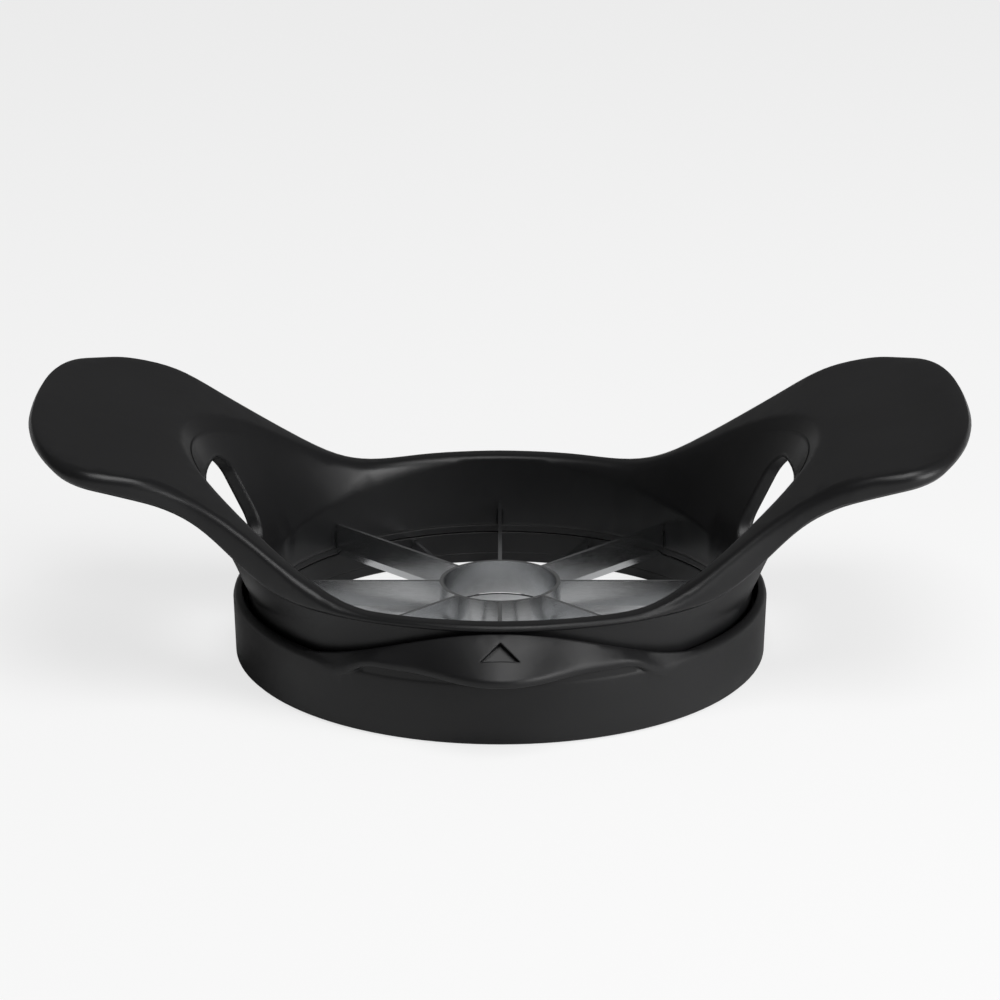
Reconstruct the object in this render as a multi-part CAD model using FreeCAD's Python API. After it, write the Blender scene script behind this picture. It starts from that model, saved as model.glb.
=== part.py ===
"""Hand slicer that cuts 8 or 16 wedges and takes out the core.

A moulded frame with two wing handles carries eight fixed blades and a coring
ring.  A moulded dial ring turns under it by half a blade pitch and carries
eight more blades and a second coring ring: with the two stars staggered the
tool cuts sixteen wedges, with them in line it cuts eight.

Millimetres.  Z is up, X runs from wing to wing, the thumb ledge points to -Y.
The origin is the centre of the flat foot of the dial ring.
"""
import FreeCAD, Part
import math
import os

Vector = FreeCAD.Vector
UP = Vector(0, 0, 1)
ORIGIN = Vector(0, 0, 0)
FRONT = -90.0                   # heading of the thumb ledge, in degrees from +X

# Blades and coring rings
blade_count = 8                 # in each of the two stars
blade_thickness = 0.8
blade_bevel_height = 1.6        # ground on the lower, cutting edge
edge_thickness = 0.12           # left at the cutting edge
tang_inset = 1.6                # a tang is this much lower than its blade, above and below
tang_length = 1.8               # reach of a tang into its slot
core_bore_radius = 11.7
core_wall = 0.8
core_bevel_height = 1.4
lower_blade_bottom = 0.5
lower_blade_height = 6.0
star_gap = 0.4                  # between the lower and the upper star
upper_blade_height = 7.0
slot_clearance = 0.05           # all round a tang in its slot
blade_end_clearance = 0.1       # between a blade's shoulder and the bore it spans

# Frame: collar
collar_bore_radius = 49.5
collar_wall = 2.5
edge_guard = 0.2                # the upper retainer stays this far above the cutting edges
journal_clearance = 0.1         # radial, of the retainer's flange in the dial's bore
thrust_gap = 0.3                # below the flange

# Frame: saddle plate with its two wings
rim_lip_reach = 2.0             # rim beyond the collar wall, at the front
rim_height = 24.4               # top of the rim at the front
neck_start = 25.0               # the neck rises between these two stations along X
neck_end = 70.0
neck_rise = 21.9
palm_start = 55.0               # the palm rises between these two
palm_end = 85.0
palm_rise = 4.8
tip_start = 82.5                # the end of a wing curls up from here
tip_rise = 2.9
rim_thickness = 1.3             # of the plate at the front,
root_thickness = 7.6            # at the root of a wing,
arm_thickness = 5.1             # beyond the root
wing_thickness = 3.2            # and at the end of the wing
root_at = 48.0
arm_at = 61.0
wing_tip = 94.9                 # from the centre to the end of a wing
wing_half_width = 39.3
wing_widest_at = 77.4
wing_end_fullness = 2.37        # exponent of the rounded end: 2 is an ellipse
waist_half_width = 36.6
waist_at = 57.5
rim_fullness = 1.4              # power that keeps the rim round up to the waist
top_round = 2.1                 # rounded margin of the plate, above
under_round = 1.3               # and below
upper_flats = ((2.0, -0.28), (0.35, 0.18), (0.0, 0.75))     # inset and drop of the corners of a
lower_flats = ((0.1, 0.7), (1.6, -0.6))                     # rounding, as shares of its radius
mouth_flats = ((2.0, -0.28), (0.35, 0.18), (-0.8, 1.5), (-0.8, -0.6))
margin_edges = 8                # edges that a curve round the plate is made of

# Frame: walls of the feed opening
throat_height = 25.8            # where the leaning axes meet the upright one
throat_lean = 21.0              # degrees from upright, towards each wing
throat_flare = 4.0              # half angle of the leaning cones
mouth_round = 1.5               # rounded inner margin of the plate
window_half_width = 15.0
window_bottom = 18.0
window_top = 37.5
window_corner = 6.0

# Dial ring
dial_height = 13.5
dial_wall = 1.8
dial_bore_clearance = 1.2       # between the collar and the dial wall
dial_foot_inset = 0.35          # draft of the outer wall
dial_foot_chamfer = 0.5
dial_rim_round = 1.5
rim_flats = 3                   # flats that the rounded rim is turned with
dial_foot_wall = 1.6            # wall outside the lower retainer
retainer_clearance = 0.05       # round the lower retainer in its seat
stop_count = 2                  # stops on the collar, each between two nibs of the dial
stop_span = 5.0                 # degrees
stop_play = 0.35                # degrees left at each end of the travel
stop_clearance = 0.3            # to the dial's bore
nib_span = 16.0                 # degrees
nib_height = 1.4
nib_clearance = 0.2             # above the flange and round the collar

# Thumb ledge of the dial
ledge_half_span = 52.0          # degrees on each side of the front
ledge_rise = 9.3                # above the dial's rim
ledge_edge_height = 16.2        # height of the outer edge above the foot
ledge_reach = 5.9               # of the nose beyond the brow
ledge_nose_half_span = 20.0     # degrees
ledge_brow = 1.3                # reach of the edge on each side of the nose
ledge_brow_start = 26.0         # degrees at which the brow begins to fade,
ledge_brow_end = 38.0           # and at which it has
ledge_edge_thickness = 1.5
ledge_round = 0.4               # flats that soften the ledge's margins
ledge_skin = 2.0
ledge_sink = 0.5                # the ledge's ends run this deep into the dial's rim
pointer_width = 7.8
pointer_height = 4.2
pointer_from_top = 1.6
pointer_depth = 1.2

far = 2 * wing_tip              # beyond every surface of the frame
collar_radius = collar_bore_radius + collar_wall
dial_bore_radius = collar_radius + dial_bore_clearance
dial_radius = dial_bore_radius + dial_wall
foot_radius = dial_radius - dial_foot_inset
foot_seat_radius = foot_radius - dial_foot_wall
journal_radius = dial_bore_radius - journal_clearance
core_radius = core_bore_radius + core_wall
blade_pitch = 360.0 / blade_count
dial_travel = blade_pitch / 2
upper_blade_bottom = lower_blade_bottom + lower_blade_height + star_gap
lower_tang_bottom = lower_blade_bottom + tang_inset
collar_bottom = upper_blade_bottom + tang_inset
retainer_bottom = upper_blade_bottom + edge_guard
carrier_top = retainer_bottom - thrust_gap
nib_bottom = collar_bottom + nib_clearance
nib_top = nib_bottom + nib_height


def polar(radius, degrees, height=0.0):
    """Point at a radius and a heading, counted from +X towards +Y."""
    heading = math.radians(degrees)
    return Vector(radius * math.cos(heading), radius * math.sin(heading), height)


def turned(shape, degrees):
    """Copy of a shape turned about the upright axis."""
    copy = shape.copy()
    copy.rotate(ORIGIN, UP, degrees)
    return copy


def profile_face(points):
    """Flat face in the XZ plane from (radius, height) corners."""
    corners = [Vector(radius, 0, height) for radius, height in points]
    return Part.Face(Part.makePolygon(corners + corners[:1]))


def tube(inner, outer, bottom, top):
    """Upright ring of rectangular section."""
    height = top - bottom
    base = Vector(0, 0, bottom)
    return Part.makeCylinder(outer, height, base).cut(Part.makeCylinder(inner, height, base))


def sector(inner, outer, bottom, top, start, span):
    """Part of such a ring, from a heading on through a span of degrees."""
    section = profile_face([(inner, bottom), (outer, bottom), (outer, top), (inner, top)])
    return turned(section.revolve(ORIGIN, UP, span), start)


def fade(value, start, end):
    """Smooth step from 0 at start to 1 at end."""
    share = min(1.0, max(0.0, (value - start) / (end - start)))
    return share * share * (3 - 2 * share)


def bell(degrees, half_span):
    """Raised cosine: 1 at the middle, 0 from half_span on."""
    if abs(degrees) >= half_span:
        return 0.0
    return math.cos(math.pi / 2 * degrees / half_span) ** 2


# Frame: a saddle plate with a rounded margin, on a collar whose walls lean out to the wings

def saddle_height(x):
    """Height of the plate's top surface, which changes along X only."""
    neck = neck_rise * fade(abs(x), neck_start, neck_end)
    palm = palm_rise * fade(abs(x), palm_start, palm_end)
    tip = tip_rise * fade(abs(x), tip_start, wing_tip)
    return rim_height + neck + palm + tip


def plate_thickness(x):
    """Thin at the front, stout at the root of a wing and thinner along it."""
    root = (root_thickness - rim_thickness) * fade(abs(x), neck_start, root_at)
    arm = (root_thickness - arm_thickness) * fade(abs(x), root_at, arm_at)
    end = (arm_thickness - wing_thickness) * fade(abs(x), arm_at, wing_tip)
    return rim_thickness + root - arm - end


def underside_height(x):
    """Height of the plate's underside."""
    return saddle_height(x) - plate_thickness(x)


def half_width(x):
    """Half the plate's width, from the rim at the front to the widest part of a wing."""
    front = collar_radius + rim_lip_reach
    swell = math.cos(math.pi / 2 * min(1.0, x / waist_at)) ** rim_fullness
    palm = fade(x, waist_at, wing_widest_at)
    return waist_half_width + (front - waist_half_width) * swell \
        + (wing_half_width - waist_half_width) * palm


def outline_quarter():
    """Plan outline from a wing's tip to the front, as points in the first quadrant."""
    end_stations, rim_stations = 7, 9
    points = []
    for k in range(end_stations):
        turn = math.pi / 2 * k / end_stations
        reach = (wing_tip - wing_widest_at) * math.cos(turn) ** (2 / wing_end_fullness)
        side = wing_half_width * math.sin(turn) ** (2 / wing_end_fullness)
        points.append((wing_widest_at + reach, side))
    for k in range(rim_stations + 1):
        x = wing_widest_at * (1 - k / rim_stations)
        points.append((x, half_width(x)))
    return points


def outline():
    """The whole outline once round from the +X tip: each point with its outward normal."""
    quarter = outline_quarter()
    left = [(-x, y) for x, y in reversed(quarter[:-1])]
    back = quarter + left
    points = [Vector(x, y, 0) for x, y in back + [(x, -y) for x, y in reversed(back[1:-1])]]
    stations = []
    for k, point in enumerate(points):
        along = points[(k + 1) % len(points)] - points[k - 1]
        stations.append((point, along.cross(UP).normalize()))
    return stations


def closed_curve(points):
    """Smooth closed curve through points, as a few edges of equal shares of them."""
    count = len(points)
    curve = Part.BSplineCurve()
    curve.interpolate(Points=points, PeriodicFlag=True, Parameters=[float(k) for k in range(count + 1)])
    edges = []
    for k in range(margin_edges):
        piece = curve.copy()
        piece.segment(count * k / margin_edges, count * (k + 1) / margin_edges)
        edges.append(piece.toShape())
    return edges


def margin_curve(stations, place):
    """Closed curve beside the stations: place gives its inset and height at an X."""
    points = []
    for point, normal in stations:
        moved = point - normal * place(point.x)[0]
        points.append(Vector(moved.x, moved.y, place(moved.x)[1]))
    return closed_curve(points)


def closed_solid(faces):
    """Solid inside a closed set of faces."""
    shell = Part.makeShell(faces)
    shell.sewShape()
    solid = Part.Solid(shell)
    if solid.Volume < 0:
        solid.reverse()
    return solid


def strips(curves):
    """Ruled faces from each closed curve to the next."""
    return [Part.makeRuledSurface(a, b) for first, second in zip(curves, curves[1:])
            for a, b in zip(first, second)]


def flat_corner(radius, level, inset, drop):
    """Place of one corner of a rounding whose radius and level change along X."""
    return lambda x: (radius(x) * inset, level(x) - radius(x) * drop)


def margin_body():
    """Closed body whose side is the rounded margin, taller than the plate above and below."""
    def upper(x):
        return min(top_round, plate_thickness(x) * 0.6)

    def lower(x):
        return min(under_round, plate_thickness(x) * 0.4)

    places = [flat_corner(upper, saddle_height, inset, drop) for inset, drop in upper_flats]
    places += [flat_corner(lower, underside_height, inset, -rise) for inset, rise in lower_flats]
    above = lambda x: (places[0](x)[0], far)
    below = lambda x: (places[-1](x)[0], -far)
    curves = [margin_curve(outline(), place) for place in [above] + places + [below]]
    caps = [Part.Face(Part.Wire(edges)) for edges in (curves[0], curves[-1])]
    return closed_solid(strips(curves) + caps)


def mouth_cutter(body):
    """Ring that rounds the margin where the feed opening comes through the plate's top."""
    holed = [face for face in body.Faces if len(face.Wires) > 1]
    top = max(holed, key=lambda face: face.CenterOfMass.z)
    mouth = min(top.Wires, key=lambda wire: wire.Length)
    station_count = 72
    points = mouth.discretize(Number=station_count + 1)[:-1]
    stations = []
    for k, point in enumerate(points):
        along = points[(k + 1) % station_count] - points[k - 1]
        normal = along.cross(UP).normalize()
        stations.append((point, normal if normal.dot(point) < 0 else -normal))

    def corner(out, drop):
        return lambda x: (out * mouth_round, saddle_height(x) - drop * mouth_round)

    places = [corner(out, drop) for out, drop in mouth_flats]
    curves = [margin_curve(stations, place) for place in places]
    return closed_solid(strips(curves + curves[:1]))


def saddle_slab(top, bottom):
    """Slab between two heights that change along X only."""
    half_length = wing_tip + top_round
    half_depth = wing_tip
    span_count = 40
    stations = [half_length * (2 * k / span_count - 1) for k in range(span_count + 1)]
    edges = []
    for height in (top, bottom):
        curve = Part.BSplineCurve()
        curve.interpolate([Vector(x, -half_depth, height(x)) for x in stations])
        edges.append(curve.toShape())
    for x in (-half_length, half_length):
        edges.append(Part.makeLine(Vector(x, -half_depth, top(x)), Vector(x, -half_depth, bottom(x))))
    section = Part.Face(Part.Wire(Part.__sortEdges__(edges)))
    return section.extrude(Vector(0, 2 * half_depth, 0))


def leaning_cone(radius, side):
    """Half of a cone that leans towards one wing and has this radius where the axes meet."""
    lean = math.radians(throat_lean)
    axis = Vector(side * math.sin(lean), 0, math.cos(lean))
    reach = 2 * collar_radius
    gain = reach * math.tan(math.radians(throat_flare)) / 2
    start = UP * throat_height - axis * (reach / 2)
    cone = Part.makeCone(radius - gain, radius + gain, reach, start, axis)
    corner = Vector(min(0, side) * far, -far / 2, -far / 2)
    return cone.common(Part.makeBox(far, far, far, corner))


def throat(radius):
    """Upright cylinder that leans out to both wings above."""
    upright = Part.makeCylinder(radius, far, ORIGIN)
    return upright.fuse([leaning_cone(radius, 1), leaning_cone(radius, -1)])


def frame_body():
    """Plate, collar and leaning walls in one, with the feed opening through it."""
    plate = margin_body().common(saddle_slab(saddle_height, underside_height))

    def mid_plate(x):
        return (saddle_height(x) + underside_height(x)) / 2

    def foot(x):
        return collar_bottom

    walls = throat(collar_radius).common(saddle_slab(mid_plate, foot))
    body = plate.fuse(walls).cut(throat(collar_bore_radius))
    return body.cut(mouth_cutter(body.removeSplitter()))


def wing_windows():
    """Two rounded prisms that cut a window through the leaning wall under each wing."""
    wide = 2 * window_half_width
    tall = window_top - window_bottom
    start = collar_bore_radius / 2
    length = wing_tip - start
    prisms = []
    for side in (-1, 1):
        corner = Vector(start if side > 0 else -wing_tip, -window_half_width, window_bottom)
        prism = Part.makeBox(length, wide, tall, corner)
        along = [e for e in prism.Edges if e.BoundBox.XLength > length / 2]
        prisms.append(prism.makeFillet(min(window_corner, 0.49 * min(wide, tall)), along))
    return prisms


def blade_slots(tang_bottom, tang_top, seat_bottom, first_heading):
    """Cutters for the slots that take the tangs, open towards the retainer below."""
    half = blade_thickness / 2 + slot_clearance
    inner = collar_bore_radius / 2
    outer = collar_bore_radius + tang_length + slot_clearance
    bottom = seat_bottom
    top = tang_top + slot_clearance
    slot = Part.makeBox(outer - inner, 2 * half, top - bottom, Vector(inner, -half, bottom))
    return [turned(slot, first_heading + k * blade_pitch) for k in range(blade_count)]


def stop_heading(k):
    """Heading of a stop on the collar."""
    return 90.0 + 360.0 / stop_count * k


def make_frame():
    """Frame with its windows, blade slots and the stops that limit the dial."""
    frame = frame_body().cut(wing_windows())
    tang_top = upper_blade_bottom + upper_blade_height - tang_inset
    below = collar_bottom - tang_inset
    frame = frame.cut(blade_slots(collar_bottom, tang_top, below, FRONT))
    buried = collar_radius - collar_wall / 4
    stops = [sector(buried, dial_bore_radius - stop_clearance, collar_bottom, nib_top,
                    stop_heading(k) - stop_span / 2, stop_span) for k in range(stop_count)]
    return frame.fuse(stops).removeSplitter()


# Dial ring

def dial_body():
    """Turned form of the dial: drafted wall, rounded rim and the carrier of the blades."""
    foot_corner = Vector(foot_radius, 0, 0)
    rim_start = Vector(dial_radius, 0, dial_height - dial_rim_round)
    up = (rim_start - foot_corner).normalize()
    centre = rim_start - Vector(dial_rim_round, 0, 0)
    flats = [math.radians(90 * k / rim_flats) for k in range(1, rim_flats + 1)]
    rim = [centre + Vector(math.cos(a), 0, math.sin(a)) * dial_rim_round for a in flats]
    corners = [rim_start] + rim + [
        Vector(dial_bore_radius, 0, dial_height), Vector(dial_bore_radius, 0, carrier_top),
        Vector(collar_bore_radius, 0, carrier_top),
        Vector(collar_bore_radius, 0, lower_tang_bottom),
        Vector(foot_seat_radius, 0, lower_tang_bottom), Vector(foot_seat_radius, 0, 0),
        foot_corner - Vector(dial_foot_chamfer, 0, 0), foot_corner + up * dial_foot_chamfer,
        rim_start]
    return Part.Face(Part.makePolygon(corners)).revolve(ORIGIN, UP, 360)


def ledge_profile(angle):
    """Radius and height of the ledge's top and of its outer edge, at an angle from the front."""
    level = dial_height - ledge_sink
    top = level + (ledge_rise + ledge_sink) * bell(angle, ledge_half_span)
    faded = fade(abs(angle), ledge_brow_start, ledge_brow_end)
    inward = ledge_sink * fade(abs(angle), ledge_brow_end, ledge_half_span)
    reach = ledge_reach * bell(angle, ledge_nose_half_span) + ledge_brow * (1 - faded)
    low = dial_height - dial_rim_round - ledge_sink
    edge_height = ledge_edge_height + (low - ledge_edge_height) * faded
    crest = dial_bore_radius + dial_wall / 2
    return crest, top, dial_radius + reach - inward, min(edge_height, top - ledge_sink)


def ledge_section(angle):
    """Corners of the ledge: up the bore side, down the thumb face and back under it."""
    crest, top, edge, edge_height = ledge_profile(angle)
    inside = dial_bore_radius + ledge_sink / 2
    outside = min(dial_radius - ledge_sink / 2, edge - ledge_sink / 4)
    base = dial_height - 2 * ledge_skin
    slope = (top - edge_height) / (edge - crest)
    under = top - slope * (outside - crest) - ledge_skin * math.hypot(1, slope)
    under = max(base + ledge_sink, min(under, top - ledge_skin / 2))
    lip = edge_height - ledge_edge_thickness
    soft = min(ledge_round, (edge - crest) / 4)
    pairs = [
        (inside, base), (inside, top), (crest, top),
        (edge - soft, edge_height + slope * soft), (edge, edge_height - soft / 2),
        (edge, lip + soft), (edge - soft, lip), (outside, under), (outside, base)]
    return [polar(radius, FRONT + angle, height) for radius, height in pairs]


def ledge_solid():
    """Thumb ledge through sections round the dial, closed at its two ends."""
    section_count, sections_per_edge = 33, 8
    step = 2 * ledge_half_span / (section_count - 1)
    rows = [ledge_section(-ledge_half_span + k * step) for k in range(section_count)]
    curves = []
    for points in zip(*rows):
        curve = Part.BSplineCurve()
        curve.interpolate(Points=points, Parameters=[float(k) for k in range(section_count)])
        edges = []
        for k in range(0, section_count - 1, sections_per_edge):
            piece = curve.copy()
            piece.segment(k, k + sections_per_edge)
            edges.append(piece.toShape())
        curves.append(edges)
    ends = [Part.Face(Part.makePolygon(row + row[:1])) for row in (rows[0], rows[-1])]
    return closed_solid(strips(curves + curves[:1]) + ends)


def pointer_cutter():
    """Triangle sunk square into the thumb face, its apex towards the frame."""
    crest, top, edge, edge_height = ledge_profile(0.0)
    crest_point = polar(crest, FRONT, top)
    down = (polar(edge, FRONT, edge_height) - crest_point).normalize()
    across = Vector(1, 0, 0)
    out = across.cross(down)
    if out.z < 0:
        out = -out
    apex = crest_point + down * pointer_from_top
    middle = apex + down * pointer_height
    corners = [apex, middle + across * (pointer_width / 2), middle - across * (pointer_width / 2)]
    sunk = [corner - out * pointer_depth for corner in corners]
    triangle = Part.Face(Part.makePolygon(sunk + sunk[:1]))
    return triangle.extrude(out * (pointer_depth + ledge_reach))


def dial_nibs():
    """Nibs above the flange: they hold the dial up, and meet a stop at each end of its travel."""
    gap = stop_span / 2 + stop_play
    starts = []
    for k in range(stop_count):
        starts.append(stop_heading(k) + gap)
        starts.append(stop_heading(k) - gap - dial_travel - nib_span)
    inner = collar_radius + nib_clearance
    outer = dial_bore_radius + dial_wall / 2
    return [sector(inner, outer, nib_bottom, nib_top, start, nib_span) for start in starts]


def make_dial():
    """Dial ring with ledge, pointer, nibs and the slots of the lower blades."""
    dial = dial_body().fuse([ledge_solid()] + dial_nibs())
    tang_top = lower_blade_bottom + lower_blade_height - tang_inset
    slots = blade_slots(lower_tang_bottom, tang_top, 0.0, FRONT + dial_travel - blade_pitch)
    return dial.cut(slots + [pointer_cutter()]).removeSplitter()


# Retainers, coring rings and blades

def make_upper_retainer():
    """Ring welded under the collar: closes the slots, and its flange runs in the dial's bore."""
    return tube(collar_bore_radius, journal_radius, retainer_bottom, collar_bottom)


def make_lower_retainer():
    """Ring welded into the dial's foot, which closes the slots of the lower blades."""
    return tube(collar_bore_radius, foot_seat_radius - retainer_clearance, 0.0, lower_tang_bottom)


def make_core_ring(bottom, height):
    """Coring ring with its lower edge ground from the outside."""
    section = profile_face([
        (core_bore_radius, bottom), (core_bore_radius + edge_thickness, bottom),
        (core_radius, bottom + core_bevel_height), (core_radius, bottom + height),
        (core_bore_radius, bottom + height)])
    return section.revolve(ORIGIN, UP, 360)


def make_blade(bottom, height, heading):
    """Blade ground on both sides of its lower edge, from the coring ring to its tang."""
    thick = blade_thickness / 2
    thin = edge_thickness / 2
    shoulder = bottom + blade_bevel_height
    top = bottom + height
    shoulder_radius = collar_bore_radius - blade_end_clearance
    tang_end = collar_bore_radius + tang_length
    section = [(-thin, bottom), (thin, bottom), (thick, shoulder), (thick, top),
               (-thick, top), (-thick, shoulder)]
    corners = [Vector(core_radius, y, z) for y, z in section]
    blank = Part.Face(Part.makePolygon(corners + corners[:1])).extrude(
        Vector(tang_end - core_radius, 0, 0))
    beyond = tang_end - shoulder_radius + 1
    above = Part.makeBox(beyond, 4 * thick, height,
                         Vector(shoulder_radius, -2 * thick, top - tang_inset))
    below = Part.makeBox(beyond, 4 * thick, height,
                         Vector(shoulder_radius, -2 * thick, bottom + tang_inset - height))
    return turned(blank.cut([above, below]), heading)


def main():
    """Write one STEP file for each piece."""
    pieces = {
        "frame": make_frame(),
        "dial_ring": make_dial(),
        "upper_blade_retainer": make_upper_retainer(),
        "lower_blade_retainer": make_lower_retainer(),
        "upper_core_ring": make_core_ring(upper_blade_bottom, upper_blade_height),
        "lower_core_ring": make_core_ring(lower_blade_bottom, lower_blade_height)}
    for k in range(blade_count):
        heading = FRONT + k * blade_pitch
        name = "upper_blade_" + str(k + 1)
        pieces[name] = make_blade(upper_blade_bottom, upper_blade_height, heading)
        name = "lower_blade_" + str(k + 1)
        pieces[name] = make_blade(lower_blade_bottom, lower_blade_height, heading - dial_travel)
    os.makedirs("parts", exist_ok=True)
    for name, shape in pieces.items():
        print(name, shape.isValid(), len(shape.Solids), round(shape.Volume, 2))
        shape.exportStep("parts/" + name + ".step")


main()
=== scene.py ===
"""Wedge slicer with a dial ring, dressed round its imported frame. Metres, Z up, thumb ledge to -Y."""
import math

import bmesh
import bpy
from mathutils import Matrix, Vector

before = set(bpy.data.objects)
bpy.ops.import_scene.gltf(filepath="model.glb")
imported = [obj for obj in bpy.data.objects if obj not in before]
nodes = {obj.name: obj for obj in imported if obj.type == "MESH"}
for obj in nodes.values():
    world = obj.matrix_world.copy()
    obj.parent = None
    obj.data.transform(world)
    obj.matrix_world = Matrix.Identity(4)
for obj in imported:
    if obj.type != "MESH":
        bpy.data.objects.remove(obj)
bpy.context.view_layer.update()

# Coring rings
# Two short tubes of stainless strip, one in the middle of each star of blades.
# Rolled, butt welded and ground from outside to a sharp lower edge.


def new_material(name):
    """Empty node material with a Principled BSDF wired to its output."""
    material = bpy.data.materials.new(name)
    material.use_nodes = True
    tree = material.node_tree
    return material, tree, tree.nodes["Principled BSDF"]


def group_socket(group, name, direction, kind, value=None):
    """Named input or output of a shader node group."""
    socket = group.interface.new_socket(name=name, in_out=direction, socket_type=kind)
    if value is not None:
        socket.default_value = value
    return socket


def make_grinding_group():
    """Fine scratches along one axis: a height and a roughness that change over the surface."""
    group = bpy.data.node_groups.new("grinding_marks", "ShaderNodeTree")
    group_socket(group, "Vector", "INPUT", "NodeSocketVector")
    group_socket(group, "Fineness", "INPUT", "NodeSocketFloat", 900.0)
    group_socket(group, "Smooth", "INPUT", "NodeSocketFloat", 0.2)
    group_socket(group, "Rough", "INPUT", "NodeSocketFloat", 0.4)
    group_socket(group, "Height", "OUTPUT", "NodeSocketFloat")
    group_socket(group, "Roughness", "OUTPUT", "NodeSocketFloat")
    tree_nodes, links = group.nodes, group.links
    given = tree_nodes.new("NodeGroupInput")
    result = tree_nodes.new("NodeGroupOutput")
    scratches = tree_nodes.new("ShaderNodeTexNoise")
    scratches.inputs["Detail"].default_value = 5
    links.new(given.outputs["Vector"], scratches.inputs["Vector"])
    links.new(given.outputs["Fineness"], scratches.inputs["Scale"])
    spread = tree_nodes.new("ShaderNodeMapRange")
    links.new(scratches.outputs["Fac"], spread.inputs["Value"])
    spread.inputs["From Min"].default_value = 0.3
    spread.inputs["From Max"].default_value = 0.7
    links.new(given.outputs["Smooth"], spread.inputs["To Min"])
    links.new(given.outputs["Rough"], spread.inputs["To Max"])
    links.new(spread.outputs["Result"], result.inputs["Roughness"])
    links.new(scratches.outputs["Fac"], result.inputs["Height"])
    return group


grinding_marks = make_grinding_group()


strip_grey = (0.66, 0.67, 0.68)
clouded_share = 0.93  # of the strip's grey, where it is cloudy


def steel_material(name, turn, stretch):
    """Stainless strip with scratches drawn out along its length, which lies at a turn about Z."""
    material, tree, shader = new_material(name)
    place = tree.nodes.new("ShaderNodeTexCoord")
    grain = tree.nodes.new("ShaderNodeMapping")
    grain.vector_type = "TEXTURE"
    grain.inputs["Rotation"].default_value = (0, 0, turn)
    grain.inputs["Scale"].default_value = stretch
    marks = tree.nodes.new("ShaderNodeGroup")
    marks.node_tree = grinding_marks
    marks.inputs["Fineness"].default_value = 5600
    marks.inputs["Smooth"].default_value = 0.17
    marks.inputs["Rough"].default_value = 0.27
    bump = tree.nodes.new("ShaderNodeBump")
    bump.inputs["Strength"].default_value = 0.09
    bump.inputs["Distance"].default_value = 0.00002
    cloud = tree.nodes.new("ShaderNodeTexNoise")
    cloud.inputs["Scale"].default_value = 90
    tint = tree.nodes.new("ShaderNodeValToRGB")
    tint.color_ramp.elements[0].position = 0.35
    tint.color_ramp.elements[0].color = tuple(c * clouded_share for c in strip_grey) + (1,)
    tint.color_ramp.elements[1].position = 0.7
    tint.color_ramp.elements[1].color = strip_grey + (1,)
    tree.links.new(place.outputs["Object"], grain.inputs["Vector"])
    tree.links.new(grain.outputs["Vector"], marks.inputs["Vector"])
    tree.links.new(place.outputs["Object"], cloud.inputs["Vector"])
    tree.links.new(cloud.outputs["Fac"], tint.inputs["Fac"])
    tree.links.new(tint.outputs["Color"], shader.inputs["Base Color"])
    tree.links.new(marks.outputs["Roughness"], shader.inputs["Roughness"])
    tree.links.new(marks.outputs["Height"], bump.inputs["Height"])
    tree.links.new(bump.outputs["Normal"], shader.inputs["Normal"])
    shader.inputs["Metallic"].default_value = 1.0
    return material


def dress(node, material):
    """Give a CAD node its finish."""
    piece = nodes[node]
    if not piece.material_slots:
        piece.data.materials.append(material)
    for slot in piece.material_slots:
        slot.material = material


ring_steel = steel_material("rolled_steel", turn=0.0, stretch=(6, 6, 1))
dress("lower_core_ring", ring_steel)
dress("upper_core_ring", ring_steel)

# Blades
# Sixteen flat stainless blades in two stars, with the grain of the strip along
# each blade and both sides of the lower edge ground sharp.
blade_count = 8
front = -math.pi / 2
pitch = 2 * math.pi / blade_count
for star, turn in (("upper", 0.0), ("lower", -pitch / 2)):
    for k in range(blade_count):
        heading = front + k * pitch + turn
        name = f"{star}_blade_{k + 1}"
        strip_steel = steel_material(f"{star}_strip_{k + 1}", turn=heading, stretch=(9, 1, 1))
        dress(name, strip_steel)

# Mouldings
# Frame, dial ring and the two retainers, moulded in black satin plastic with a
# fine even spark texture, a little smoother where hands and washing polish it.


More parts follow.
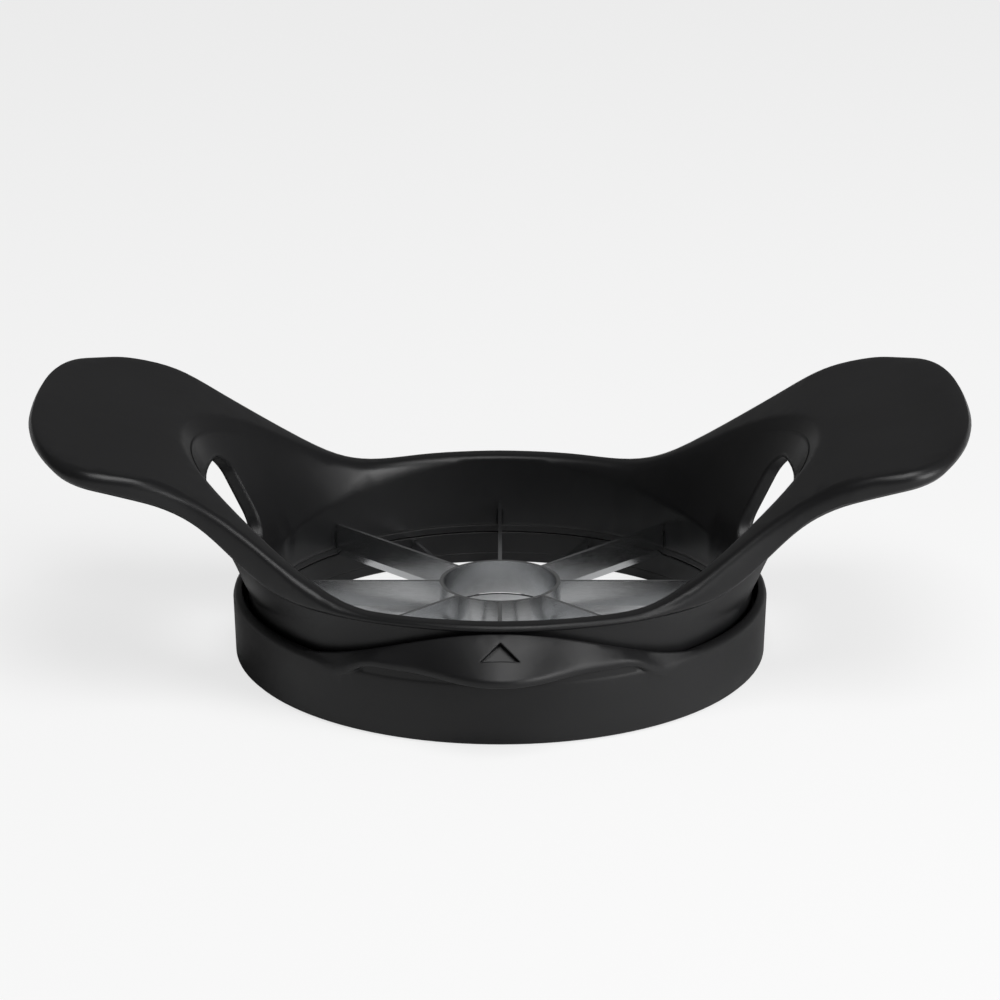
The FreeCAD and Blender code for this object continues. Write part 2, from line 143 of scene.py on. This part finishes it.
def make_moulding_group():
    """Spark texture of a mould, with slow changes of polish and of tone in the black."""
    group = bpy.data.node_groups.new("moulded_texture", "ShaderNodeTree")
    group_socket(group, "Base", "INPUT", "NodeSocketColor", (0.02, 0.02, 0.02, 1))
    group_socket(group, "Worn", "INPUT", "NodeSocketColor", (0.03, 0.03, 0.03, 1))
    group_socket(group, "Fineness", "INPUT", "NodeSocketFloat", 2600.0)
    group_socket(group, "Smooth", "INPUT", "NodeSocketFloat", 0.38)
    group_socket(group, "Rough", "INPUT", "NodeSocketFloat", 0.5)
    group_socket(group, "Color", "OUTPUT", "NodeSocketColor")
    group_socket(group, "Roughness", "OUTPUT", "NodeSocketFloat")
    group_socket(group, "Height", "OUTPUT", "NodeSocketFloat")
    tree_nodes, links = group.nodes, group.links
    given = tree_nodes.new("NodeGroupInput")
    result = tree_nodes.new("NodeGroupOutput")
    place = tree_nodes.new("ShaderNodeTexCoord")
    spark = tree_nodes.new("ShaderNodeTexNoise")
    spark.inputs["Detail"].default_value = 3
    polish = tree_nodes.new("ShaderNodeTexNoise")
    polish.inputs["Scale"].default_value = 38
    polish.inputs["Detail"].default_value = 4
    links.new(place.outputs["Object"], spark.inputs["Vector"])
    links.new(given.outputs["Fineness"], spark.inputs["Scale"])
    links.new(place.outputs["Object"], polish.inputs["Vector"])
    spread = tree_nodes.new("ShaderNodeMapRange")
    spread.inputs["From Min"].default_value = 0.35
    spread.inputs["From Max"].default_value = 0.65
    links.new(polish.outputs["Fac"], spread.inputs["Value"])
    links.new(given.outputs["Smooth"], spread.inputs["To Min"])
    links.new(given.outputs["Rough"], spread.inputs["To Max"])
    tint = tree_nodes.new("ShaderNodeMix")
    tint.data_type = "RGBA"
    links.new(polish.outputs["Fac"], tint.inputs["Factor"])
    links.new(given.outputs["Base"], tint.inputs["A"])
    links.new(given.outputs["Worn"], tint.inputs["B"])
    links.new(tint.outputs["Result"], result.inputs["Color"])
    links.new(spread.outputs["Result"], result.inputs["Roughness"])
    links.new(spark.outputs["Fac"], result.inputs["Height"])
    return group


moulded_texture = make_moulding_group()
weld_distance = 0.000004
sharp_beyond = math.radians(50)


def round_edges(node):
    """Join a CAD node's loose triangles and shade them as one skin, sharp beyond an angle."""
    group = bpy.data.node_groups.new(f"{node}_skin", "GeometryNodeTree")
    group.interface.new_socket(name="Mesh", in_out="INPUT", socket_type="NodeSocketGeometry")
    group.interface.new_socket(name="Mesh", in_out="OUTPUT", socket_type="NodeSocketGeometry")
    add, links = group.nodes.new, group.links
    given, result = add("NodeGroupInput"), add("NodeGroupOutput")
    plain = add("GeometryNodeRemoveAttribute")
    plain.inputs["Name"].default_value = "custom_normal"
    joined = add("GeometryNodeMergeByDistance")
    joined.inputs["Distance"].default_value = weld_distance
    skin = add("GeometryNodeSetShadeSmooth")
    edge_angle = add("GeometryNodeInputMeshEdgeAngle")
    gentle = add("FunctionNodeCompare")
    gentle.operation = "LESS_THAN"
    gentle.inputs["B"].default_value = sharp_beyond
    edges = add("GeometryNodeSetShadeSmooth")
    edges.domain = "EDGE"
    links.new(given.outputs["Mesh"], plain.inputs["Geometry"])
    links.new(plain.outputs["Geometry"], joined.inputs["Geometry"])
    links.new(joined.outputs["Geometry"], skin.inputs["Geometry"])
    links.new(skin.outputs["Geometry"], edges.inputs["Geometry"])
    links.new(edge_angle.outputs["Unsigned Angle"], gentle.inputs["A"])
    links.new(gentle.outputs["Result"], edges.inputs["Shade Smooth"])
    links.new(edges.outputs["Geometry"], result.inputs["Mesh"])
    nodes[node].modifiers.new("skin", "NODES").node_group = group
    weighted = nodes[node].modifiers.new("even shading", "WEIGHTED_NORMAL")
    weighted.keep_sharp = True
    weighted.weight = 80


def plastic_material(name, base, worn, smooth, rough, softness):
    """Black moulded plastic whose edges shade as rounds of the softness given, in metres."""
    material, tree, shader = new_material(name)
    shader.inputs["Specular IOR Level"].default_value = 0.32
    mould = tree.nodes.new("ShaderNodeGroup")
    mould.node_tree = moulded_texture
    mould.inputs["Base"].default_value = base + (1,)
    mould.inputs["Worn"].default_value = worn + (1,)
    mould.inputs["Smooth"].default_value = smooth
    mould.inputs["Rough"].default_value = rough
    rounding = tree.nodes.new("ShaderNodeBevel")
    rounding.samples = 6
    rounding.inputs["Radius"].default_value = softness
    bump = tree.nodes.new("ShaderNodeBump")
    bump.inputs["Strength"].default_value = 0.3
    bump.inputs["Distance"].default_value = 0.00004
    tree.links.new(rounding.outputs["Normal"], bump.inputs["Normal"])
    tree.links.new(mould.outputs["Color"], shader.inputs["Base Color"])
    tree.links.new(mould.outputs["Roughness"], shader.inputs["Roughness"])
    tree.links.new(mould.outputs["Height"], bump.inputs["Height"])
    tree.links.new(bump.outputs["Normal"], shader.inputs["Normal"])
    return material


carbon_black = (0.006, 0.006, 0.0065)
frame_black = plastic_material("frame_black", carbon_black, worn=(0.009, 0.009, 0.0095),
                               smooth=0.30, rough=0.38, softness=0.0011)
dial_black = plastic_material("dial_black", carbon_black, worn=(0.008, 0.008, 0.0085),
                              smooth=0.40, rough=0.48, softness=0.0005)
dress("frame", frame_black)
dress("dial_ring", dial_black)
dress("upper_blade_retainer", dial_black)
dress("lower_blade_retainer", dial_black)
round_edges("frame")
round_edges("dial_ring")

# Floor
# Plain pale surface under the slicer, not part of it, a hair below its foot.
floor_half = 4.0
floor_height = -0.0002
floor_whiteness = 0.75
floor_mesh = bpy.data.meshes.new("floor")
floor_shape = bmesh.new()
bmesh.ops.create_grid(floor_shape, x_segments=1, y_segments=1, size=floor_half)
floor_shape.to_mesh(floor_mesh)
floor_shape.free()
floor = bpy.data.objects.new("floor", floor_mesh)
bpy.context.collection.objects.link(floor)
floor_mesh.transform(Matrix.Translation((0, 0, floor_height)))


def pale_to_the_eye(tree, shaded, output):
    """Mix white into what the camera and glass see, and leave the shadow in it."""
    ray = tree.nodes.new("ShaderNodeLightPath")
    direct = tree.nodes.new("ShaderNodeMath")
    direct.operation = "MAXIMUM"
    tree.links.new(ray.outputs["Is Camera Ray"], direct.inputs[0])
    tree.links.new(ray.outputs["Is Transmission Ray"], direct.inputs[1])
    share = tree.nodes.new("ShaderNodeMath")
    share.operation = "MULTIPLY"
    share.inputs[1].default_value = floor_whiteness
    tree.links.new(direct.outputs[0], share.inputs[0])
    white = tree.nodes.new("ShaderNodeEmission")
    mix = tree.nodes.new("ShaderNodeMixShader")
    tree.links.new(share.outputs[0], mix.inputs["Fac"])
    tree.links.new(shaded.outputs[0], mix.inputs[1])
    tree.links.new(white.outputs[0], mix.inputs[2])
    tree.links.new(mix.outputs[0], output.inputs["Surface"])


floor_finish, floor_tree, floor_shader = new_material("pale_floor")
floor_shader.inputs["Base Color"].default_value = (0.86, 0.86, 0.86, 1)
floor_shader.inputs["Roughness"].default_value = 0.8
pale_to_the_eye(floor_tree, floor_shader, floor_tree.nodes["Material Output"])
floor_mesh.materials.append(floor_finish)

# Light
# Soft studio light: a large box low on the right in front, one overhead that
# draws the rims, and a dim world that the camera sees as white.
world_on_slicer = 0.12
world_to_camera = 1.0
scene = bpy.context.scene
world = bpy.data.worlds.new("studio")
scene.world = world
world.use_nodes = True
sky_tree = world.node_tree
sky = sky_tree.nodes["Background"]
sky.inputs["Color"].default_value = (1, 1, 1, 1)
ray = sky_tree.nodes.new("ShaderNodeLightPath")
seen = sky_tree.nodes.new("ShaderNodeMapRange")
seen.inputs["To Min"].default_value = world_on_slicer
seen.inputs["To Max"].default_value = world_to_camera
sky_tree.links.new(ray.outputs["Is Camera Ray"], seen.inputs["Value"])
sky_tree.links.new(seen.outputs["Result"], sky.inputs["Strength"])


def area_lamp(name, place, target, size, power):
    """Square soft box that looks at a point."""
    lamp = bpy.data.lights.new(name, "AREA")
    lamp.shape = "SQUARE"
    lamp.size = size
    lamp.energy = power
    holder = bpy.data.objects.new(name, lamp)
    holder.location = place
    holder.rotation_euler = (Vector(target) - Vector(place)).to_track_quat("-Z", "Y").to_euler()
    bpy.context.collection.objects.link(holder)


middle = (0, 0, 0.03)
area_lamp("side box", place=(0.95, -0.65, 0.38), target=middle, size=0.6, power=10)
area_lamp("overhead box", place=(0.15, -0.35, 1.0), target=middle, size=0.6, power=7)

# Camera
# In front of the slicer and 20 degrees above it, at the photograph's framing.
camera_distance = 0.8
camera_elevation = math.radians(20.0)
aim_height = 0.0315
ring_height = 0.02
focal_pixels = 3883.0
picture_width = 1000.0
camera_data = bpy.data.cameras.new("camera")
camera_data.sensor_width = 36.0
camera_data.lens = focal_pixels / picture_width * camera_data.sensor_width
camera_data.clip_start = 0.05
camera = bpy.data.objects.new("camera", camera_data)
camera.location = (0, -camera_distance * math.cos(camera_elevation),
                   ring_height + camera_distance * math.sin(camera_elevation))
line_of_sight = Vector((0, 0, aim_height)) - camera.location
camera.rotation_euler = line_of_sight.to_track_quat("-Z", "Y").to_euler()
bpy.context.collection.objects.link(camera)
scene.camera = camera
scene.view_settings.view_transform = "Standard"
